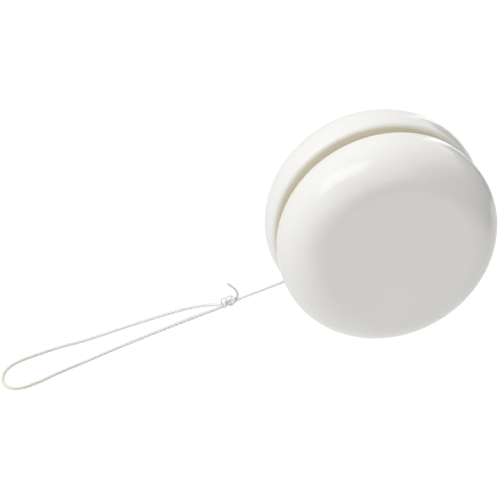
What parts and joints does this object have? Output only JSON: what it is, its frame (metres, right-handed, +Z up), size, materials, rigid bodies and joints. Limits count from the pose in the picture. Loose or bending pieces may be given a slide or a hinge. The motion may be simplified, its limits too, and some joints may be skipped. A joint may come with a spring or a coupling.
{
  "type": "yo yo",
  "caption": "Round two-half toy yo-yo with domed glossy halves on a steel axle, and a wound cotton string that ends in a knotted finger loop.",
  "frame": {"origin": "middle of the axle, midway between the two halves", "axes": "+Y along the axle from the front half to the rear half; +Z up with the yo-yo standing on its two rims; the string leaves towards -X"},
  "size_m": [0.1283, 0.032, 0.057],
  "materials": {
    "shell_plastic": "glossy moulded off-white",
    "hub_plastic": "satin moulded off-white",
    "axle_steel": "drawn wire",
    "sleeve_plastic": "smooth natural nylon",
    "string_cotton": "twisted cotton"
  },
  "bodies": {
    "string": {"string_winding": "string_cotton", "string_run": "string_cotton", "string_knot": "string_cotton", "finger_loop": "string_cotton", "knot_tail": "string_cotton"},
    "yoyo": {"front_shell": "shell_plastic", "rear_shell": "shell_plastic", "front_hub_plate": "hub_plastic", "rear_hub_plate": "hub_plastic", "axle_pin": "axle_steel", "axle_sleeve": "sleeve_plastic"}
  },
  "joints": [
    {"name": "spin", "type": "hinge", "parent": "string", "child": "yoyo", "pos_m": [0, 0, 0], "axis": [0, 1, 0], "continuous": true}
  ]
}
